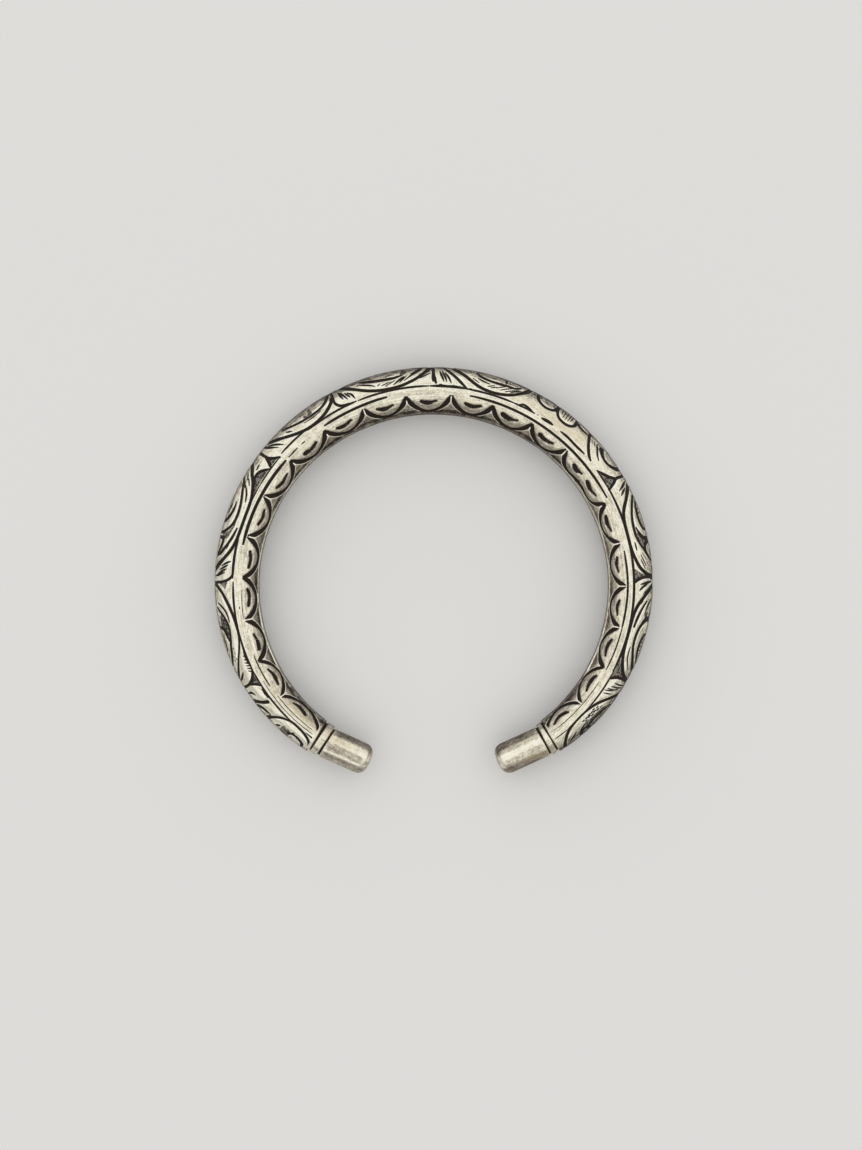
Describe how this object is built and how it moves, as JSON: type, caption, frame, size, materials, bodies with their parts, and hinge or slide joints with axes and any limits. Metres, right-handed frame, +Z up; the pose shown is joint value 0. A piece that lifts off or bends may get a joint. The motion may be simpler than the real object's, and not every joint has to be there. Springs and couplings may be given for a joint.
{
  "type": "kada cuff bangle",
  "caption": "Open C-shaped solid silver cuff bangle, chased with petals and arched leaves, with a collar ring and a plain round terminal at each end.",
  "frame": {"origin": "centre of the round wrist hollow, on the plane that the bangle rests on", "axes": "+Z up through the wrist hollow, +Y to the middle of the bangle's back, -Y to its opening, +X to the picture's right"},
  "size_m": [0.076, 0.0704, 0.0083],
  "materials": {
    "silver": "hand-polished old silver, warm and slightly worn, with dark oxidised cuts"
  },
  "bodies": {
    "root": {"kada": "silver"}
  },
  "joints": []
}
